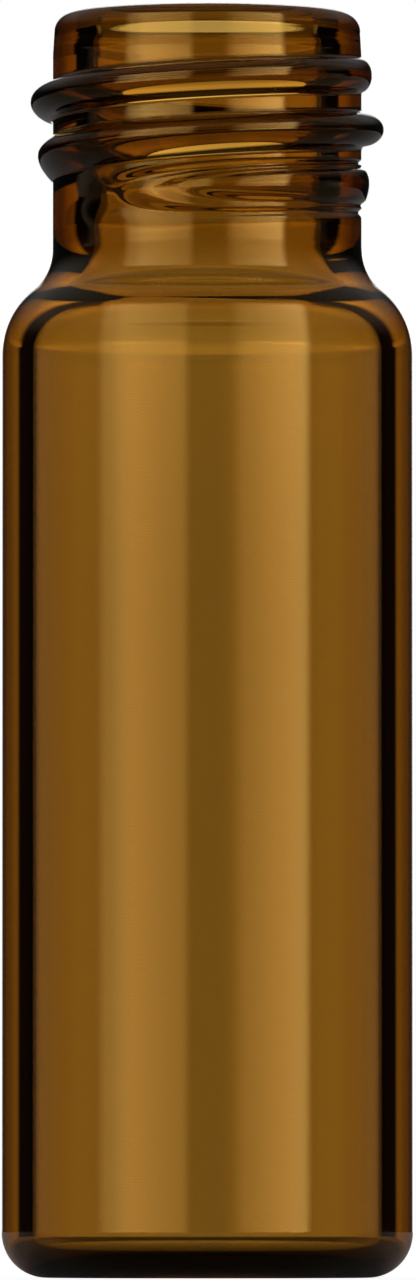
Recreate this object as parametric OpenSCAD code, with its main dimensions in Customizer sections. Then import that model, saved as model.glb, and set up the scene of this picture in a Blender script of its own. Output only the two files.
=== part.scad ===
// Screw-neck sample vial: one piece of amber glass, drawn standing on its base.
// Millimetres, +Z up. The origin is the middle of the base, on the plane the vial stands on.
// The wall is one revolved section, and the screw thread is one ridge swept round the neck.

/* [Body] */
// Height from the standing plane to the top of the lip
vial_height = 45.3; // [40:0.1:70]
// Outside diameter of the body
body_diameter = 14.7; // [14:0.1:20]
// Wall thickness of the body
wall = 1.1; // [0.8:0.05:1.6]
// Thickness of the glass under the sample
floor_thickness = 1.2; // [0.8:0.05:2]
// Radius of the outer corner round the base
base_corner = 1.6; // [0.8:0.05:2.2]
// Radius of the inner corner round the floor
floor_corner = 0.55; // [0.4:0.05:2.5]
// Diameter of the shallow hollow under the base
hollow_diameter = 8; // [4:0.5:9]
// Depth of the hollow under the base
hollow_depth = 0.4; // [0.1:0.05:0.4]

/* [Shoulder] */
// Radius of the rounded shoulder
shoulder_radius = 2.95; // [2:0.05:3.4]
// Radius of the flare between the shoulder and the neck
flare_radius = 1.85; // [1:0.05:3]
// Radius of the rounded shoulder inside the vial
inner_shoulder_radius = 1.7; // [0.9:0.1:3.2]
// Radius of the edge between the inner shoulder and the bore
inner_flare_radius = 2.6; // [1.2:0.1:3]
// How far above the outer flare the bore starts to widen
inner_rise = 0.1; // [0:0.05:0.8]

/* [Neck] */
// Outside diameter of the neck below and between the turns of thread
neck_diameter = 11.1; // [10:0.1:12]
// Diameter of the bore through the neck
bore_diameter = 8.2; // [6.5:0.1:8.4]
// Height of the neck from the flare to the top of the lip
neck_height = 8.5; // [8:0.1:12]
// Radius of the outer edge of the lip
lip_radius = 0.7; // [0.3:0.05:0.85]
// How much the neck's radius narrows on its way up to the lip
lip_taper = 0.05; // [0:0.01:0.12]
// How far below the top of the lip the neck starts to narrow
lip_taper_height = 1.5; // [1.2:0.1:1.8]
// Radius of the inner edge of the lip
mouth_radius = 0.5; // [0.2:0.05:0.6]

/* [Thread] */
// How far the thread stands out of the neck
thread_height = 0.8; // [0.4:0.05:1]
// Width of the thread where it leaves the neck
thread_width = 1.26; // [0.8:0.02:1.4]
// Radius of the soft corner where the thread meets the neck
thread_foot = 0.2; // [0.05:0.05:0.3]
// Rise of the thread in one turn
thread_pitch = 1.94; // [1.8:0.01:2.2]
// Depth of the thread's middle below the top of the lip, where it is half grown
thread_depth = 2.25; // [2:0.05:2.6]
// Angle over which the thread grows to its full height at the top
lead_in_angle = 200; // [60:10:270]
// Angle over which the thread stays at its full height
full_angle = 260; // [180:10:360]
// Angle over which the thread dies away at the bottom
run_out_angle = 600; // [60:10:640]
// How much wider the lower flank is where the thread has died away, as a share of its width
run_out_spread = 0.9; // [0:0.05:1]

/* [Hidden] */
$fn = 96;
body_radius = body_diameter / 2;
neck_radius = neck_diameter / 2;
bore_radius = bore_diameter / 2;
cavity_radius = body_radius - wall;
neck_foot = vial_height - neck_height;
// The hollow is part of a large ball that rises by its depth in the middle of the base.
hollow_ball = (pow(hollow_diameter / 2, 2) + pow(hollow_depth, 2)) / (2 * hollow_depth);
// The two arcs of an S-shaped curve overlap by this much, so that they cross instead of just touching.
arc_overlap = 0.0005;
// The cavity's section is cut this far past the lip.
mouth_overrun = 1;
// The ridge reaches this far into the neck. Its soft foot starts a little under the surface,
// and this many times deeper where the ridge has died away.
ridge_bury = 0.5;
ridge_seat = 0.02;
ridge_sink = 4;
ridge_step = 7.5;
// The rounded face takes up the ridge's half ellipse from this angle on, and the foot the rest.
ridge_face_start = 14;
ridge_face_points = 9;
ridge_foot_turns = [0, 30, 60];
ridge_ring_points = ridge_face_points + 2 * len(ridge_foot_turns) + 2;
ridge_angle = lead_in_angle + full_angle + run_out_angle;
ridge_stations = ceil(ridge_angle / ridge_step) + 1;
glass = [0.36, 0.13, 0.02, 0.6];

// Height between the centres of two arcs that meet, from their radii and the step between them.
function arc_rise(convex, concave, step) = sqrt(pow(convex + concave - arc_overlap, 2) - pow(step, 2));

// Section from the axis to a wall that narrows from one radius to another in an S-shaped curve.
module necked_section(low_radius, high_radius, bottom, corner, convex, concave, foot, top) {
    convex_x = low_radius - convex;
    concave_x = high_radius + concave;
    convex_z = foot - arc_rise(convex, concave, concave_x - convex_x);
    difference() {
        union() {
            translate([0, bottom]) square([low_radius - corner, corner]);
            translate([low_radius - corner, bottom + corner]) circle(corner);
            translate([0, bottom + corner]) square([low_radius, convex_z - bottom - corner]);
            translate([convex_x, convex_z]) circle(convex);
            polygon([[0, convex_z], [convex_x, convex_z], [concave_x, foot], [0, foot]]);
            translate([0, foot]) square([high_radius, top - foot]);
        }
        translate([concave_x, foot]) circle(concave);
    }
}

// Section of the space that the vial would fill if it were solid glass.
module outer_section() {
    lip_x = neck_radius - lip_taper - lip_radius;
    lip_z = vial_height - lip_radius;
    taper_z = vial_height - lip_taper_height;
    necked_section(body_radius, neck_radius, 0, base_corner, shoulder_radius, flare_radius,
        neck_foot, taper_z);
    polygon([[0, taper_z], [neck_radius, taper_z], [neck_radius - lip_taper, lip_z], [0, lip_z]]);
    translate([0, lip_z]) square([lip_x, lip_radius]);
    translate([lip_x, lip_z]) circle(lip_radius);
}

// Section of the space inside: the cavity, the bore and the rounded inner edge of the lip.
module inner_section() {
    mouth_x = bore_radius + mouth_radius;
    mouth_z = vial_height - mouth_radius;
    necked_section(cavity_radius, bore_radius, floor_thickness, floor_corner,
        inner_shoulder_radius, inner_flare_radius, neck_foot + inner_rise, mouth_z);
    difference() {
        translate([0, mouth_z]) square([mouth_x, mouth_radius + mouth_overrun]);
        translate([mouth_x, mouth_z]) circle(mouth_radius);
    }
}

// The revolved glass wall, with a shallow hollow under the base.
module glass_wall() {
    rotate_extrude() difference() {
        outer_section();
        inner_section();
        translate([0, hollow_depth - hollow_ball]) circle(hollow_ball);
    }
}

// How much of its full height the ridge has, from 0 to 1, at an angle from its upper end.
function growth(angle) =
    angle < lead_in_angle ? ease(angle / lead_in_angle)
    : angle < lead_in_angle + full_angle ? 1
    : 1 - (angle - lead_in_angle - full_angle) / run_out_angle;

// A smooth step from 0 to 1.
function ease(share) = share * share * (3 - 2 * share);

// How many times wider the lower flank is, at an angle from the ridge's upper end.
function spread(angle) =
    angle < lead_in_angle + full_angle ? 1 : 1 + run_out_spread * (1 - growth(angle));

// Radius at which the ridge's foot starts, just under the neck's surface.
function foot_radius(angle) = neck_radius - ridge_seat * (1 + (ridge_sink - 1) * (1 - growth(angle)));

// Radius and height of one point of the ridge's rounded face, before it is turned round the neck.
// The turn goes from 0 at the upper edge of the ridge to 180 at the lower edge.
function face_point(angle, turn) =
    let (rise = (thread_height + ridge_seat) * growth(angle))
    let (half = thread_width / 2 * (turn > 90 ? spread(angle) : 1))
    [foot_radius(angle) + rise * sin(turn), half * cos(turn)];

// Radius and height of one point of the soft foot: side is 1 above the ridge and -1 below it.
function foot_point(angle, side, turn) =
    let (edge = face_point(angle, side > 0 ? ridge_face_start : 180 - ridge_face_start))
    let (reach = thread_foot * (side > 0 ? 1 : spread(angle)))
    let (foot = foot_radius(angle))
    [foot + (edge[0] - foot) * (1 - cos(turn)), edge[1] + side * reach * (1 - sin(turn))];

// One ring of points across the ridge, from its upper foot to its lower one.
function ridge_ring(angle) =
    let (upper = [for (turn = ridge_foot_turns) foot_point(angle, 1, turn)])
    let (lower = [for (turn = ridge_foot_turns) foot_point(angle, -1, turn)])
    let (face_step = (180 - 2 * ridge_face_start) / (ridge_face_points - 1))
    concat(
        [[neck_radius - ridge_bury, upper[0][1]]],
        upper,
        [for (i = [0:ridge_face_points - 1]) face_point(angle, ridge_face_start + i * face_step)],
        [for (i = [len(lower) - 1:-1:0]) lower[i]],
        [[neck_radius - ridge_bury, lower[0][1]]]);

// The screw thread: one right-hand ridge that grows out of the neck and dies away again.
module thread_ridge() {
    half_grown = lead_in_angle / 2;
    top_z = vial_height - thread_depth + thread_pitch * half_grown / 360;
    points = [for (k = [0:ridge_stations - 1])
        let (angle = k * ridge_angle / (ridge_stations - 1))
        for (p = ridge_ring(angle))
            [p[0] * cos(half_grown - angle), p[0] * sin(half_grown - angle),
             top_z - thread_pitch * angle / 360 + p[1]]];
    ring = ridge_ring_points;
    last = (ridge_stations - 1) * ring;
    faces = concat(
        [[for (j = [ring - 1:-1:0]) j]],
        [[for (j = [0:ring - 1]) last + j]],
        [for (k = [0:ridge_stations - 2]) for (j = [0:ring - 1]) each [
            [k * ring + j, (k + 1) * ring + (j + 1) % ring, (k + 1) * ring + j],
            [k * ring + j, k * ring + (j + 1) % ring, (k + 1) * ring + (j + 1) % ring]]]);
    polyhedron(points, faces);
}

// The whole vial, in one piece.
module vial() {
    color(glass) union() {
        glass_wall();
        thread_ridge();
    }
}

vial();
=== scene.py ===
"""Amber glass sample vial with a screw neck, set on a pale studio floor.

The glass is one closed mesh: a section revolved about the Z axis, with the screw thread's
ridge raised on its neck. All sizes are in metres and the vial stands on the plane z = 0.
"""

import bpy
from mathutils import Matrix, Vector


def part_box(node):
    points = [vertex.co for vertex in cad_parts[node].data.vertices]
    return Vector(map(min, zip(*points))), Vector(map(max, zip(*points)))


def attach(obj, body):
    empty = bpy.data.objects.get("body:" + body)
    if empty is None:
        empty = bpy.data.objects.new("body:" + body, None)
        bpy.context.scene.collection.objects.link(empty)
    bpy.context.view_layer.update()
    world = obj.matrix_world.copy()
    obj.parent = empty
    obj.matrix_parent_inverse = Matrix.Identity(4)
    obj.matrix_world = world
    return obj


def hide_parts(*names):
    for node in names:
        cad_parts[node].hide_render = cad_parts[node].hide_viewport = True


bl_info = {
    "name": "Amber Sample Vial",
    "version": (1, 0, 0),
    "blender": (4, 5, 0),
    "location": "View3D > Sidebar > Vial",
    "description": "Builds a screw-neck vial of amber glass and the studio it stands in",
    "category": "Add Mesh",
}

import math
from types import SimpleNamespace

import bpy
import numpy as np
from bpy.props import FloatProperty, FloatVectorProperty, IntProperty, PointerProperty
from mathutils import Vector

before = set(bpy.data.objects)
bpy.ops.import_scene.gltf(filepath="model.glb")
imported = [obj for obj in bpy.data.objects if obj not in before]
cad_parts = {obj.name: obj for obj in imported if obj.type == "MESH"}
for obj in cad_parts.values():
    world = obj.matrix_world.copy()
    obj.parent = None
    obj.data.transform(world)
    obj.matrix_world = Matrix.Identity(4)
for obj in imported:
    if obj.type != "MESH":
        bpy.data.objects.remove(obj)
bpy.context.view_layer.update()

MM = 0.001
DEGREES = math.degrees(1)
VIAL_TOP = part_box("vial")[1][2]


# ---------------------------------------------------------------- shader expressions


class Shade:
    """A node socket's value in a shader expression, where arithmetic adds Math nodes."""

    def __init__(self, nodes, socket):
        self.nodes = nodes
        self.socket = socket

    def __add__(self, other):
        return self.nodes.math("ADD", self, other)

    def __radd__(self, other):
        return self.nodes.math("ADD", other, self)

    def __sub__(self, other):
        return self.nodes.math("SUBTRACT", self, other)

    def __rsub__(self, other):
        return self.nodes.math("SUBTRACT", other, self)

    def __mul__(self, other):
        return self.nodes.math("MULTIPLY", self, other)

    def __rmul__(self, other):
        return self.nodes.math("MULTIPLY", other, self)

    def __neg__(self):
        return self.nodes.math("MULTIPLY", self, -1.0)


class NodeMaker:
    """Adds nodes to one shader tree."""

    def __init__(self, tree):
        self.tree = tree
        tree.nodes.clear()

    def add(self, kind, *values, settings=None, output=0, **inputs):
        """Adds a node, sets it, then fills its sockets by order or by name, and returns one output."""
        node = self.tree.nodes.new("ShaderNode" + kind)
        for name, value in (settings or {}).items():
            setattr(node, name, value)
        for socket, value in zip(node.inputs, values):
            self.fill(socket, value)
        for name, value in inputs.items():
            self.fill(node.inputs[name.replace("_", " ")], value)
        return Shade(self, node.outputs[output]) if node.outputs else None

    def fill(self, socket, value):
        """Links a shader value to a socket, or sets the socket to a plain value."""
        if isinstance(value, Shade):
            self.tree.links.new(value.socket, socket)
        else:
            socket.default_value = value

    def math(self, operation, *values):
        """A Math node on up to three values."""
        return self.add("Math", *values, settings={"operation": operation})

    def smooth(self, value, low, high):
        """0 below low, 1 above high and a smooth step between them."""
        return self.add(
            "MapRange", settings={"interpolation_type": "SMOOTHSTEP"},
            Value=value, From_Min=low, From_Max=high)

    def grey(self, value):
        """A grey colour from one number."""
        return self.add("CombineXYZ", value, value, value)

    def split(self, vector):
        """The three numbers of a vector."""
        return [self.add("SeparateXYZ", vector, output=axis) for axis in range(3)]

    def ray_is(self, kind):
        """1 for a light path of the named kind, else 0."""
        return self.add("LightPath", output=f"Is {kind} Ray")

    def around(self, side, back):
        """Degrees to either side of the way to the camera: 180 is straight behind the vial."""
        return self.math("ABSOLUTE", self.math("ARCTAN2", side, -back) * DEGREES)


# ---------------------------------------------------------------- properties


class VialSizes(bpy.types.PropertyGroup):
    """Sizes of the glass."""

    height: FloatProperty(
        name="Height", description="Height from the floor to the top of the lip",
        default=VIAL_TOP, unit="LENGTH")
    body_diameter: FloatProperty(
        name="Body diameter", description="Outside diameter of the body",
        default=14.7 * MM, unit="LENGTH")
    wall: FloatProperty(
        name="Wall", description="Thickness of the body's wall",
        default=1.1 * MM, unit="LENGTH")
    floor_thickness: FloatProperty(
        name="Floor thickness", description="Thickness of the glass under the sample",
        default=1.0 * MM, unit="LENGTH")
    base_corner: FloatProperty(
        name="Base corner", description="Radius of the outer corner round the base",
        default=1.6 * MM, unit="LENGTH")
    floor_corner: FloatProperty(
        name="Floor corner", description="Radius of the inner corner round the floor",
        default=0.55 * MM, unit="LENGTH")
    hollow_diameter: FloatProperty(
        name="Hollow diameter", description="Diameter of the shallow hollow under the base",
        default=8.0 * MM, unit="LENGTH")
    hollow_depth: FloatProperty(
        name="Hollow depth", description="Depth of the hollow under the base",
        default=0.4 * MM, unit="LENGTH")
    shoulder_radius: FloatProperty(
        name="Shoulder radius", description="Radius of the rounded shoulder",
        default=2.95 * MM, unit="LENGTH")
    flare_radius: FloatProperty(
        name="Flare radius", description="Radius between the shoulder and the neck",
        default=1.85 * MM, unit="LENGTH")
    inner_shoulder_radius: FloatProperty(
        name="Inner shoulder radius", description="Radius of the shoulder inside the vial",
        default=1.77 * MM, unit="LENGTH")
    inner_flare_radius: FloatProperty(
        name="Inner flare radius", description="Radius between the inner shoulder and the bore",
        default=3.95 * MM, unit="LENGTH")
    inner_rise: FloatProperty(
        name="Inner rise", description="How far above the outer flare the bore starts to widen",
        default=0.77 * MM, unit="LENGTH")
    neck_diameter: FloatProperty(
        name="Neck diameter", description="Outside diameter of the neck between the turns",
        default=11.1 * MM, unit="LENGTH")
    bore_diameter: FloatProperty(
        name="Bore diameter", description="Diameter of the bore through the neck",
        default=8.2 * MM, unit="LENGTH")
    neck_height: FloatProperty(
        name="Neck height", description="Height of the neck from the flare to the lip's top",
        default=8.5 * MM, unit="LENGTH")
    lip_radius: FloatProperty(
        name="Lip radius", description="Radius of the outer edge of the lip",
        default=0.7 * MM, unit="LENGTH")
    lip_taper: FloatProperty(
        name="Lip taper", description="How much the neck's radius narrows up to the lip",
        default=0.05 * MM, unit="LENGTH")
    taper_height: FloatProperty(
        name="Taper height", description="How far below the lip's top the neck starts to narrow",
        default=1.5 * MM, unit="LENGTH")
    mouth_radius: FloatProperty(
        name="Mouth radius", description="Radius of the inner edge of the lip",
        default=0.6 * MM, unit="LENGTH")
    mouth_bead: FloatProperty(
        name="Mouth bead", description="How much narrower the bore is just under the mouth",
        default=0.08 * MM, unit="LENGTH")
    bead_height: FloatProperty(
        name="Bead height", description="Height over which the bore narrows to the mouth",
        default=0.7 * MM, unit="LENGTH")


class ThreadSizes(bpy.types.PropertyGroup):
    """Sizes of the screw thread."""

    height: FloatProperty(
        name="Height", description="How far the thread stands out of the neck",
        default=0.8 * MM, unit="LENGTH")
    width: FloatProperty(
        name="Width", description="Width of the thread where it leaves the neck",
        default=1.26 * MM, unit="LENGTH")
    pitch: FloatProperty(
        name="Pitch", description="Rise of the thread in one turn",
        default=1.94 * MM, unit="LENGTH")
    depth: FloatProperty(
        name="Depth", description="Depth of the half-grown thread's middle below the lip's top",
        default=2.25 * MM, unit="LENGTH")
    lead_in: FloatProperty(
        name="Lead-in", description="Angle over which the thread grows at the top",
        default=math.radians(200), subtype="ANGLE")
    full: FloatProperty(
        name="Full", description="Angle over which the thread stays at its full height",
        default=math.radians(260), subtype="ANGLE")
    run_out: FloatProperty(
        name="Run-out", description="Angle over which the thread dies away at the bottom",
        default=math.radians(600), subtype="ANGLE")
    last_swell: FloatProperty(
        name="Last swell", description="Angle of the run-out over which its last swell sinks",
        default=math.radians(110), subtype="ANGLE")
    swell_end: FloatProperty(
        name="Swell end", description="Angle from the thread's start to the last swell's end",
        default=math.radians(1000), subtype="ANGLE")
    spread: FloatProperty(
        name="Spread", description="How much wider the flanks are where the thread ends",
        default=1.9)
    bell: FloatProperty(
        name="Bell", description="How bell-shaped the thread is where it ends; 1 is round",
        default=5.0)
    climb: FloatProperty(
        name="Climb", description="How far the ridge's crest shifts up where the thread ends",
        default=0.1 * MM, unit="LENGTH")
    line_height: FloatProperty(
        name="Line height", description="How far up the last swell its inner line runs",
        default=0.09 * MM, unit="LENGTH")
    line_depth: FloatProperty(
        name="Line depth", description="Depth of the fine lines round the last swell",
        default=0.13 * MM, unit="LENGTH")
    line_reach: FloatProperty(
        name="Line reach", description="How far each line reaches up and down the swell",
        default=0.035 * MM, unit="LENGTH")
    foot: FloatProperty(
        name="Foot", description="Radius of the soft corner where the thread meets the neck",
        default=0.2 * MM, unit="LENGTH")
    softness: FloatProperty(
        name="Softness", description="Reach over which the thread's profile is smoothed",
        default=0.05 * MM, unit="LENGTH")


class MeshDetail(bpy.types.PropertyGroup):
    """How finely the glass is divided."""

    columns: IntProperty(
        name="Columns", description="Divisions round the vial", default=208)
    thread_rows: IntProperty(
        name="Thread rows", description="Divisions up the threaded part of the neck",
        default=240)
    thread_samples: IntProperty(
        name="Thread samples", description="Points at which the thread is measured per column",
        default=1800)


class GlassFinish(bpy.types.PropertyGroup):
    """Looks of the glass."""

    ior: FloatProperty(name="IOR", description="Index of refraction of the glass", default=1.52)
    absorption: FloatProperty(
        name="Absorption", description="Density of the amber colour, per metre",
        default=2230.0)
    amber: FloatVectorProperty(
        name="Amber", description="Colour that the glass lets through",
        default=(0.66, 0.488, 0.0), subtype="COLOR", min=0, max=1)
    gloss: FloatVectorProperty(
        name="Gloss", description="Tint of the reflections",
        default=(1.0, 0.59, 0.14), subtype="COLOR", min=0, max=1)
    roughness: FloatProperty(
        name="Roughness", description="Roughness of the glass where it is least polished",
        default=0.012)
    mottle: FloatProperty(
        name="Mottle", description="How many patches of less polish there are in a metre",
        default=900.0)


class StudioSettings(bpy.types.PropertyGroup):
    """The floor, the light and the camera."""

    floor_size: FloatProperty(
        name="Floor size", description="Width of the floor", default=1.5, unit="LENGTH")
    floor_colour: FloatVectorProperty(
        name="Floor colour", description="Colour of the floor",
        default=(0.4, 0.4, 0.4), subtype="COLOR", min=0, max=1)
    floor_glow: FloatProperty(
        name="Floor glow", description="How far the floor is lifted towards white", default=0.88)
    camera_distance: FloatProperty(
        name="Camera distance", description="From the camera to the vial's axis",
        default=0.55, unit="LENGTH")
    eye_height: FloatProperty(
        name="Eye height", description="Height of the camera above the floor",
        default=2.5 * MM, unit="LENGTH")
    aim_height: FloatProperty(
        name="Aim height", description="Height of the point that the camera looks at",
        default=22.81 * MM, unit="LENGTH")
    aim_side: FloatProperty(
        name="Aim side", description="How far right of the axis the camera stands and looks",
        default=0.025 * MM, unit="LENGTH")
    lens: FloatProperty(
        name="Lens", description="Focal length in millimetres", default=432.4)


# ---------------------------------------------------------------- the glass

# The glass is fully polished where the noise is under the first value, and least over the second.
MOTTLE_EDGE = (0.35, 0.75)
MOTTLE_DETAIL = 2.0

# Divisions of the section's arcs, and of the lines between them.
HOLLOW_STEPS = 10
CORNER_STEPS = 16
SHOULDER_STEPS = 16
LIP_STEPS = 14
MOUTH_STEPS = 12
BEAD_STEPS = 10
INNER_STEPS = 12
BASE_LINE_STEPS = 4
BORE_LINE_STEPS = 6
WALL_LINE_STEPS = 8

# A line has extra points this near its ends, or at this share of its length where that is less,
# so that the shading of a corner stays there.
GUARD_LENGTH = 0.08 * MM
GUARD_SHARE = 0.2

# The threaded rows start this far from the sections above and below them.
THREAD_MARGIN = 0.05 * MM

# The rounded face takes up the ridge's half ellipse from this angle on, and the foot the rest.
# The foot starts this deep in the neck, and this many times deeper where the ridge has died away.
FACE_START = math.radians(14)
RIDGE_SEAT = 0.02 * MM
RIDGE_SINK = 4

# Share of the run-out at which the fine lines start, and over which they reach their full depth.
LINES_START = 0.45
LINES_GROWTH = 0.15


def arc(centre, radius, start, end, steps):
    """Points along an arc in a section, both ends included; angles in degrees."""
    points = []
    for i in range(steps + 1):
        angle = math.radians(start + (end - start) * i / steps)
        points.append((centre[0] + radius * math.cos(angle), centre[1] + radius * math.sin(angle)))
    return points


def line(start, end, steps):
    """Points along a straight line in a section, without its ends, and closer together there."""
    guard = min(GUARD_LENGTH / math.dist(start, end), GUARD_SHARE)
    shares = [guard / 3, guard] + [i / steps for i in range(1, steps)] + [1 - guard, 1 - guard / 3]
    return [tuple(a + (b - a) * share for a, b in zip(start, end)) for share in shares]


def s_curve(low_radius, high_radius, convex, concave, foot, steps):
    """The rounded step from a wide wall to a narrow one above it, as two arcs that meet."""
    convex_x = low_radius - convex
    concave_x = high_radius + concave
    rise = math.sqrt((convex + concave) ** 2 - (concave_x - convex_x) ** 2)
    lean = math.degrees(math.atan2(rise, concave_x - convex_x))
    lower = arc((convex_x, foot - rise), convex, 0, lean, steps)
    upper = arc((concave_x, foot), concave, 180 + lean, 180, steps)
    return lower + upper[1:]


def ease(share):
    """A smooth step from 0 to 1."""
    return share * share * (3 - 2 * share)


def neck_radii(sizes, heights):
    """Radius of the plain neck at each height; it narrows a little on its way up to the lip."""
    start = sizes.height - sizes.taper_height
    end = sizes.height - sizes.lip_radius
    share = np.clip((heights - start) / (end - start), 0, 1)
    return sizes.neck_diameter / 2 - sizes.lip_taper * share


def ridge_profile(offset, half, reach, bell):
    """How far the ridge rises, from 0 to 1, at distances from its middle: round with a soft foot."""
    edge = half * math.cos(FACE_START)
    face = np.clip(1 - (offset / half) ** 2, 0, 1) ** (bell / 2)
    foot_height = math.sin(FACE_START) ** bell
    slide = 1 - np.clip((offset - edge) / reach, 0, 1)
    foot = foot_height * (1 - np.sqrt(1 - slide ** 2))
    return np.where(offset < edge, face, foot)


def clamped_ease(share):
    """A smooth step from 0 to 1 that stays level before and after."""
    return ease(min(max(share, 0), 1))


def ridge_growth(thread, angle):
    """The ridge's share of its full height and of its run-out, at an angle from its upper end."""
    if angle < thread.lead_in:
        return ease(angle / thread.lead_in), 0.0
    if angle < thread.lead_in + thread.full:
        return 1.0, 0.0
    fade = (angle - thread.lead_in - thread.full) / thread.run_out
    sunk_share = (angle - thread.swell_end) / thread.last_swell + 1
    return (1 - fade) * (1 - clamped_ease(sunk_share)), fade


def ridge_rise(thread, offset, growth, fade):
    """How far the ridge stands out of the neck, at heights from its middle; under 0 in the glass."""
    upper_share = 1 + thread.spread * fade * fade / 2
    lower_share = 1 + thread.spread * fade
    bell = 1 + (thread.bell - 1) * fade
    offset = np.where(offset < 0, -offset / lower_share, offset / upper_share)
    ridge = ridge_profile(offset, thread.width / 2, thread.foot, bell)
    sunk = RIDGE_SEAT * (1 + (RIDGE_SINK - 1) * (1 - growth))
    return (thread.height + RIDGE_SEAT) * growth * ridge - sunk


def soften(radii, reach):
    """Radii smoothed over a number of samples to either side."""
    kernel = np.hanning(2 * reach + 1)
    padded = np.pad(radii, reach, mode="edge")
    return np.convolve(padded, kernel / kernel.sum(), mode="valid")


def thread_column(sizes, thread, detail, azimuth, low, high):
    """Radii and heights of the threaded neck at one azimuth, evenly spaced along its surface."""
    heights = np.linspace(low, high, detail.thread_samples)
    rise_above_neck = np.zeros_like(heights)
    lines = np.zeros_like(heights)
    half_grown = thread.lead_in / 2
    top = sizes.height - thread.depth + thread.pitch * half_grown / math.tau
    total = thread.lead_in + thread.full + thread.run_out
    angle = (half_grown - azimuth) % math.tau
    while angle < total:
        growth, fade = ridge_growth(thread, angle)
        offset = heights - (top - thread.pitch * angle / math.tau) - thread.climb * fade
        swell = ridge_rise(thread, offset, growth, fade)
        rise_above_neck = np.maximum(rise_above_neck, swell)
        strength = clamped_ease((fade - LINES_START) / LINES_GROWTH) * thread.line_depth
        for level in (0.0, thread.line_height):
            lines += strength * np.exp(-((swell - level) / thread.line_reach) ** 2)
        angle += math.tau
    reach = max(1, int(thread.softness / (heights[1] - heights[0])))
    radii = soften(neck_radii(sizes, heights) + rise_above_neck - lines, reach)
    lengths = np.hypot(np.diff(radii), np.diff(heights))
    travelled = np.concatenate([[0.0], np.cumsum(lengths)])
    stops = np.linspace(0, travelled[-1], detail.thread_rows)
    return np.interp(stops, travelled, radii), np.interp(stops, travelled, heights)


def outer_sections(sizes):
    """The outside's section below and above the thread, going up from the middle of the base."""
    body = sizes.body_diameter / 2
    neck = sizes.neck_diameter / 2
    foot = sizes.height - sizes.neck_height
    half_hollow = sizes.hollow_diameter / 2
    ball = (half_hollow ** 2 + sizes.hollow_depth ** 2) / (2 * sizes.hollow_depth)
    hollow_angle = math.degrees(math.asin(half_hollow / ball))
    corner = sizes.base_corner
    below = arc((0, sizes.hollow_depth - ball), ball, 90, 90 - hollow_angle, HOLLOW_STEPS)
    below += line(below[-1], (body - corner, 0), BASE_LINE_STEPS)
    below += arc((body - corner, corner), corner, -90, 0, CORNER_STEPS)
    shoulder = s_curve(
        body, neck, sizes.shoulder_radius, sizes.flare_radius, foot, SHOULDER_STEPS)
    below += line(below[-1], shoulder[0], WALL_LINE_STEPS)
    below += shoulder
    lip = sizes.lip_radius
    above = arc((neck - sizes.lip_taper - lip, sizes.height - lip), lip, 0, 90, LIP_STEPS)
    return below, above


def inner_section(sizes):
    """The inside's section, going down from the lip to the middle of the floor."""
    cavity = sizes.body_diameter / 2 - sizes.wall
    bore = sizes.bore_diameter / 2
    foot = sizes.height - sizes.neck_height + sizes.inner_rise
    mouth = sizes.mouth_radius
    bead = sizes.mouth_bead
    points = arc((bore - bead + mouth, sizes.height - mouth), mouth, 90, 180, MOUTH_STEPS)
    for i in range(1, BEAD_STEPS + 1):
        share = i / BEAD_STEPS
        drop = sizes.bead_height * share
        points.append((bore - bead * (1 - ease(share)), sizes.height - mouth - drop))
    shoulder = s_curve(
        cavity, bore, sizes.inner_shoulder_radius, sizes.inner_flare_radius, foot, INNER_STEPS)
    shoulder.reverse()
    points += line(points[-1], shoulder[0], BORE_LINE_STEPS)
    points += shoulder
    corner = sizes.floor_corner
    corner_arc = arc((cavity - corner, sizes.floor_thickness + corner), corner, 0, -90, INNER_STEPS)
    points += line(points[-1], corner_arc[0], WALL_LINE_STEPS)
    points += corner_arc
    points += line(points[-1], (0, sizes.floor_thickness), WALL_LINE_STEPS)
    points.append((0.0, sizes.floor_thickness))
    return points


def glass_mesh(sizes, thread, detail):
    """One closed mesh of the whole vial."""
    below, above = outer_sections(sizes)
    inside = inner_section(sizes)
    columns = detail.columns
    azimuths = [math.tau * k / columns for k in range(columns)]
    neck_low = below[-1][1] + THREAD_MARGIN
    neck_high = above[0][1] - THREAD_MARGIN
    threaded = [
        thread_column(sizes, thread, detail, azimuth, neck_low, neck_high)
        for azimuth in azimuths
    ]
    rings = []
    for radius, height in below[1:]:
        rings.append([(radius, height)] * columns)
    for row in range(detail.thread_rows):
        rings.append([(radii[row], heights[row]) for radii, heights in threaded])
    for radius, height in above + inside[:-1]:
        rings.append([(radius, height)] * columns)
    vertices = [(0.0, 0.0, below[0][1])]
    for ring in rings:
        for azimuth, (radius, height) in zip(azimuths, ring):
            vertices.append((radius * math.cos(azimuth), radius * math.sin(azimuth), height))
    vertices.append((0.0, 0.0, inside[-1][1]))
    faces = []
    last = len(vertices) - 1
    for k in range(columns):
        after = (k + 1) % columns
        faces.append((0, 1 + after, 1 + k))
        for i in range(len(rings) - 1):
            here, above_it = 1 + i * columns, 1 + (i + 1) * columns
            faces.append((here + k, here + after, above_it + after, above_it + k))
        here = 1 + (len(rings) - 1) * columns
        faces.append((here + k, here + after, last))
    mesh = bpy.data.meshes.new("vial_glass")
    mesh.from_pydata(vertices, [], faces)
    mesh.polygons.foreach_set("use_smooth", [True] * len(mesh.polygons))
    mesh.update()
    return mesh


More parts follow.
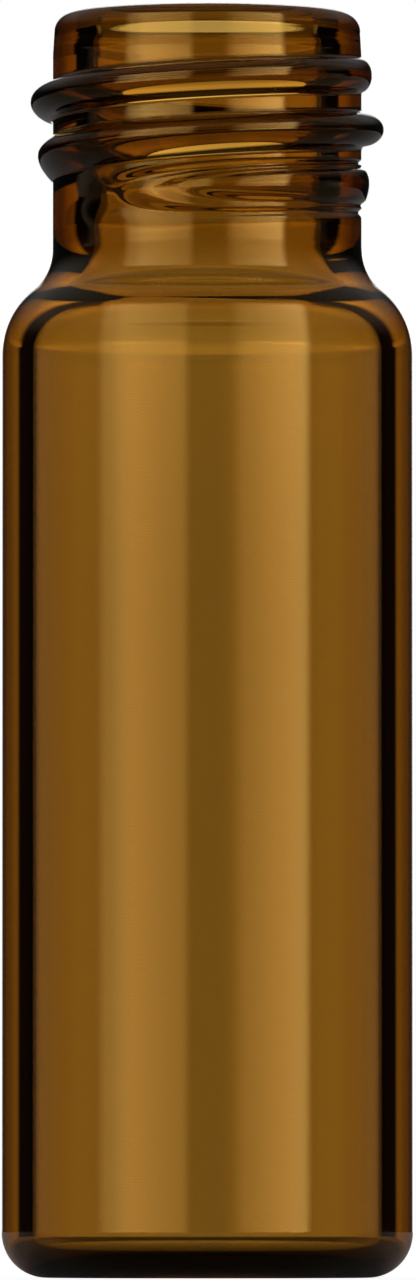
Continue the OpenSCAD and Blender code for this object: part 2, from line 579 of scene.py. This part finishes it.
def amber_glass(finish):
    """Clear amber glass that colours light along its way through the wall."""
    material = bpy.data.materials.new("amber_glass")
    material.use_nodes = True
    nodes = NodeMaker(material.node_tree)
    place = nodes.add("TexCoord", output="Object")
    noise = nodes.add("TexNoise", Vector=place, Scale=finish.mottle, Detail=MOTTLE_DETAIL)
    shader = nodes.add(
        "BsdfPrincipled",
        Base_Color=(1, 1, 1, 1),
        Roughness=nodes.smooth(noise, *MOTTLE_EDGE) * finish.roughness,
        IOR=finish.ior,
        Transmission_Weight=1.0,
        Specular_Tint=(*finish.gloss, 1))
    colour = nodes.add(
        "VolumeAbsorption", Color=(*finish.amber, 1), Density=finish.absorption)
    nodes.add("OutputMaterial", Surface=shader, Volume=colour)
    return material


class VIAL_OT_glass(bpy.types.Operator):
    """Builds the vial's glass over its solid"""

    bl_idname = "vial.glass"
    bl_label = "Glass vial"

    def execute(self, context):
        scene = context.scene
        mesh = glass_mesh(scene.vial_sizes, scene.vial_thread, scene.vial_detail)
        mesh.materials.append(amber_glass(scene.vial_finish))
        glass = bpy.data.objects.new("vial_glass", mesh)
        scene.collection.objects.link(glass)
        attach(glass, "root")
        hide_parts("vial")
        return {"FINISHED"}


# ---------------------------------------------------------------- the studio

# Angles are in degrees, and a pair is where a soft edge starts and ends. The way round is 0 at
# the camera and 180 straight behind the vial. The tilt is the rise over the horizon.

# Rays straight through the neck rise by more than this, and those through the body by less.
# Rays that the shoulder bends up rise by more than the second pair, and count less as the neck's.
NECK_TILT = (3.42, 3.62)
NECK_TILT_END = (4.6, 6)
NECK_TILT_LOSS = 0.6

# The bright wall behind the body: where it starts, its light there and what it loses further in.
BODY_WALL_EDGE = (146, 153)
BODY_WALL_LIGHT = 1.75
BODY_WALL_FADE = (154, 164)
BODY_WALL_LOSS = 0.33
BODY_WALL_MIDDLE = (170, 180)
BODY_WALL_MIDDLE_LOSS = 0.42

# The same wall behind the neck, and where it starts for rays that the glass only mirrors.
NECK_WALL_EDGE = (143, 149)
NECK_WALL_LIGHT = 1.9
NECK_WALL_FADE = (158, 178)
NECK_WALL_LOSS = 0.9
MIRRORED_WALL_EDGE = (167, 175)

# How the wall's light changes with the tilt, and where the wall ends.
WALL_STRENGTH = 0.96
WALL_BODY_RISE = (2.2, 3.3)
WALL_BODY_GAIN = 0.08
WALL_NECK_GAIN = 0.59
WALL_HIGH_RISE = (16, 30)
WALL_HIGH_GAIN = 1.0
WALL_END = (34, 40)

# The lit strips at both sides of the vial. They end sooner at the neck, are dimmer on the right
# there, and lose most of their light in rays that the glass only mirrors.
STRIP_START = (60, 67)
STRIP_LIGHT = 0.95
STRIP_RISE = (88, 103)
STRIP_GAIN = 0.8
STRIP_END = 112
STRIP_END_AT_NECK = 98
STRIP_SOFTNESS = 5
STRIP_RIGHT = (-0.2, 0.2)
STRIP_RIGHT_LOSS = 0.5
STRIP_TOP = (5, 9)
STRIP_STRENGTH = 1.08
STRIP_MIRRORED_LOSS = 0.93

# The soft boxes at both sides of the camera, in degrees of fan and pitch.
BOX_LIGHT = 2.0
LEFT_BOX_START = (8, 15)
LEFT_BOX_END = (57, 66)
LEFT_BOX_SLOPE = 0.057
LEFT_BOX_FADE = (46, 57)
LEFT_BOX_LOSS = 0.5
RIGHT_BOX_START = (11, 24)
RIGHT_BOX_END = (54, 62)
RIGHT_BOX_SLOPE = 0.107
BOX_TOP = (15, 22)
BOX_MIRRORED_DROP = 43

# The boxes get brighter upwards over this reach of tilt, and are plain again further up.
LIFT_START = 2.0
LIFT_REACH = 2.3
LIFT_GAIN = 0.17
LIFT_END = (4.8, 8)

# The light of the room: below the horizon, everywhere and overhead.
HORIZON = (-4, -2)
GROUND_LIGHT = 0.07
ROOM_LIGHT = 0.01
OVERHEAD = (10, 30)
OVERHEAD_LIGHT = 0.1

# The floor glows for rays through the glass, from these distances in metres; more at the back.
# Nearer the vial than the first pair it stays dark for those rays, as painted shade under the vial.
GLOW_PAST_PAINTED_SHADE = (0.012, 0.03)
GLOW_THROUGH_GLASS = 0.55
BACK_GLOW_START = (0.12, 0.2)


def studio_floor(studio):
    """A pale floor that keeps the vial's shadow."""
    half = studio.floor_size / 2
    corners = [(-half, -half, 0), (half, -half, 0), (half, half, 0), (-half, half, 0)]
    mesh = bpy.data.meshes.new("studio_floor")
    mesh.from_pydata(corners, [], [(0, 1, 2, 3)])
    floor = bpy.data.objects.new("studio_floor", mesh)
    bpy.context.scene.collection.objects.link(floor)
    material = bpy.data.materials.new("floor_white")
    material.use_nodes = True
    nodes = NodeMaker(material.node_tree)
    side, back, _ = nodes.split(nodes.add("TexCoord", output="Object"))
    distance = nodes.math("SQRT", side * side + back * back)
    at_back = nodes.smooth(nodes.around(side, back), *BODY_WALL_EDGE)
    # Near the vial the glow seen through the glass is held back, as painted shade under the vial.
    through = nodes.smooth(distance, *GLOW_PAST_PAINTED_SHADE) * GLOW_THROUGH_GLASS
    through = through + nodes.smooth(distance, *BACK_GLOW_START) * at_back
    glow = nodes.ray_is("Camera") + nodes.ray_is("Transmission") * through
    glow = nodes.math("MINIMUM", glow, 1.0)
    shader = nodes.add(
        "BsdfPrincipled",
        Base_Color=(*studio.floor_colour, 1),
        Roughness=0.9,
        Specular_IOR_Level=0.0,
        Emission_Color=nodes.grey(glow * studio.floor_glow),
        Emission_Strength=1.0)
    nodes.add("OutputMaterial", Surface=shader)
    mesh.materials.append(material)


def light_directions(nodes):
    """Where light comes from, and whether the glass only mirrors it.

    Fan and pitch are twice the turn and the rise of a surface that mirrors the direction to
    the camera, so an edge in them runs straight up or across a round wall.
    """
    side, back, up = nodes.split(nodes.add("TexCoord", output="Generated"))
    front = 1 - back
    reach = nodes.math("SQRT", side * side + front * front)
    return SimpleNamespace(
        side=side,
        around=nodes.around(side, back),
        tilt=nodes.math("ARCSINE", up) * DEGREES,
        fan=nodes.math("ARCTAN2", side, front) * (2 * DEGREES),
        pitch=nodes.math("ARCTAN2", up, reach) * (2 * DEGREES),
        mirrored=nodes.ray_is("Glossy") * (1 - nodes.ray_is("Transmission")))


def wall_light(nodes, ray, neck_level):
    """The bright wall behind the vial, against which the glass is seen."""
    body = nodes.smooth(ray.around, *BODY_WALL_EDGE) * (
        BODY_WALL_LIGHT - nodes.smooth(ray.around, *BODY_WALL_FADE) * BODY_WALL_LOSS)
    body = body - nodes.smooth(ray.around, *BODY_WALL_MIDDLE) * BODY_WALL_MIDDLE_LOSS
    neck = nodes.smooth(ray.around, *NECK_WALL_EDGE) * (
        NECK_WALL_LIGHT - nodes.smooth(ray.around, *NECK_WALL_FADE) * NECK_WALL_LOSS)
    wall = body + (neck - body) * neck_level
    wall = wall + (nodes.smooth(ray.around, *MIRRORED_WALL_EDGE) - wall) * ray.mirrored
    wall = wall * (
        WALL_STRENGTH
        + nodes.smooth(ray.tilt, *WALL_BODY_RISE) * WALL_BODY_GAIN
        + neck_level * WALL_NECK_GAIN
        + nodes.smooth(ray.tilt, *WALL_HIGH_RISE) * WALL_HIGH_GAIN)
    return wall * (1 - nodes.smooth(ray.tilt, *WALL_END))


def strip_light(nodes, ray, neck_level):
    """The lit strips at both sides of the vial, between dark cards."""
    end = STRIP_END - neck_level * (STRIP_END - STRIP_END_AT_NECK)
    strips = nodes.smooth(ray.around, *STRIP_START) * (
        STRIP_LIGHT + nodes.smooth(ray.around, *STRIP_RISE) * STRIP_GAIN)
    strips = strips * (1 - nodes.smooth(ray.around - end, -STRIP_SOFTNESS, STRIP_SOFTNESS))
    right = nodes.smooth(ray.side, *STRIP_RIGHT)
    strips = strips * (1 - neck_level * right * STRIP_RIGHT_LOSS)
    strips = strips * (1 - nodes.smooth(ray.tilt, *STRIP_TOP))
    return strips * (STRIP_STRENGTH - ray.mirrored * STRIP_MIRRORED_LOSS)


def box_light(nodes, ray):
    """The two soft boxes at the camera's sides, which the glass mirrors as bright bands."""
    outward = -ray.fan
    left = nodes.smooth(outward, *LEFT_BOX_START) * (1 - nodes.smooth(outward, *LEFT_BOX_END))
    left = left * (BOX_LIGHT + (outward - LEFT_BOX_START[1]) * LEFT_BOX_SLOPE)
    left = left * (1 - nodes.smooth(outward, *LEFT_BOX_FADE) * LEFT_BOX_LOSS)
    right = nodes.smooth(ray.fan, *RIGHT_BOX_START) * (1 - nodes.smooth(ray.fan, *RIGHT_BOX_END))
    outward = nodes.math("MAXIMUM", ray.fan - RIGHT_BOX_START[1], 0.0)
    right = right * (BOX_LIGHT + outward * RIGHT_BOX_SLOPE)
    lift = nodes.math("MAXIMUM", ray.tilt - LIFT_START, 0.0)
    lift = nodes.math("MINIMUM", lift, LIFT_REACH)
    lift = 1 + lift * lift * LIFT_GAIN * (1 - nodes.smooth(ray.tilt, *LIFT_END))
    below_top = 1 - nodes.smooth(ray.pitch - ray.mirrored * BOX_MIRRORED_DROP, *BOX_TOP)
    return (left + right) * lift * below_top


def studio_world():
    """Soft light by direction: a bright wall, lit strips at the sides and two boxes in front."""
    world = bpy.data.worlds.new("studio_world")
    bpy.context.scene.world = world
    world.use_nodes = True
    nodes = NodeMaker(world.node_tree)
    ray = light_directions(nodes)
    neck_level = nodes.smooth(ray.tilt, *NECK_TILT) * (
        1 - nodes.smooth(ray.tilt, *NECK_TILT_END) * NECK_TILT_LOSS)
    wall = wall_light(nodes, ray, neck_level)
    strips = strip_light(nodes, ray, neck_level)
    boxes = box_light(nodes, ray)
    above_ground = nodes.smooth(ray.tilt, *HORIZON)
    room = ROOM_LIGHT + (1 - above_ground) * GROUND_LIGHT
    overhead = nodes.smooth(ray.tilt, *OVERHEAD) * (1 + ray.mirrored) * OVERHEAD_LIGHT
    light = (wall + strips + boxes) * above_ground + room + overhead
    # The camera itself sees plain white past the vial.
    strength = light + nodes.ray_is("Camera") * (1 - light)
    shader = nodes.add("Background", Color=(1, 1, 1, 1), Strength=strength)
    nodes.add("OutputWorld", Surface=shader)


def studio_camera(studio):
    """The camera: far away, a little above the floor and looking slightly up."""
    data = bpy.data.cameras.new("studio_camera")
    data.sensor_width = 36
    data.lens = studio.lens
    data.clip_start = 0.01
    camera = bpy.data.objects.new("studio_camera", data)
    bpy.context.scene.collection.objects.link(camera)
    eye = Vector((studio.aim_side, -studio.camera_distance, studio.eye_height))
    aim = Vector((studio.aim_side, 0, studio.aim_height))
    camera.location = eye
    camera.rotation_euler = (aim - eye).to_track_quat("-Z", "Y").to_euler()
    bpy.context.scene.camera = camera


class VIAL_OT_studio(bpy.types.Operator):
    """Sets up the floor, the light and the camera"""

    bl_idname = "vial.studio"
    bl_label = "Studio"

    def execute(self, context):
        studio = context.scene.vial_studio
        studio_floor(studio)
        studio_world()
        studio_camera(studio)
        context.scene.view_settings.view_transform = "Standard"
        return {"FINISHED"}


class VIAL_PT_panel(bpy.types.Panel):
    """Lists what builds the vial and its studio"""

    bl_idname = "VIAL_PT_panel"
    bl_label = "Amber Sample Vial"
    bl_space_type = "VIEW_3D"
    bl_region_type = "UI"
    bl_category = "Vial"

    def draw(self, context):
        for operator in OPERATORS:
            self.layout.operator(operator.bl_idname)
        for name in GROUPS:
            box = self.layout.box()
            group = getattr(context.scene, name)
            for key in group.__annotations__:
                box.prop(group, key)


GROUPS = {
    "vial_sizes": VialSizes,
    "vial_thread": ThreadSizes,
    "vial_detail": MeshDetail,
    "vial_finish": GlassFinish,
    "vial_studio": StudioSettings,
}
OPERATORS = (VIAL_OT_glass, VIAL_OT_studio)
CLASSES = (*GROUPS.values(), *OPERATORS, VIAL_PT_panel)


def register():
    for cls in CLASSES:
        bpy.utils.register_class(cls)
    for name, group in GROUPS.items():
        setattr(bpy.types.Scene, name, PointerProperty(type=group))


def unregister():
    for name in GROUPS:
        delattr(bpy.types.Scene, name)
    for cls in reversed(CLASSES):
        bpy.utils.unregister_class(cls)


def main():
    """Builds the vial and the studio."""
    register()
    bpy.ops.vial.glass()
    bpy.ops.vial.studio()


if __name__ == "__main__":
    main()
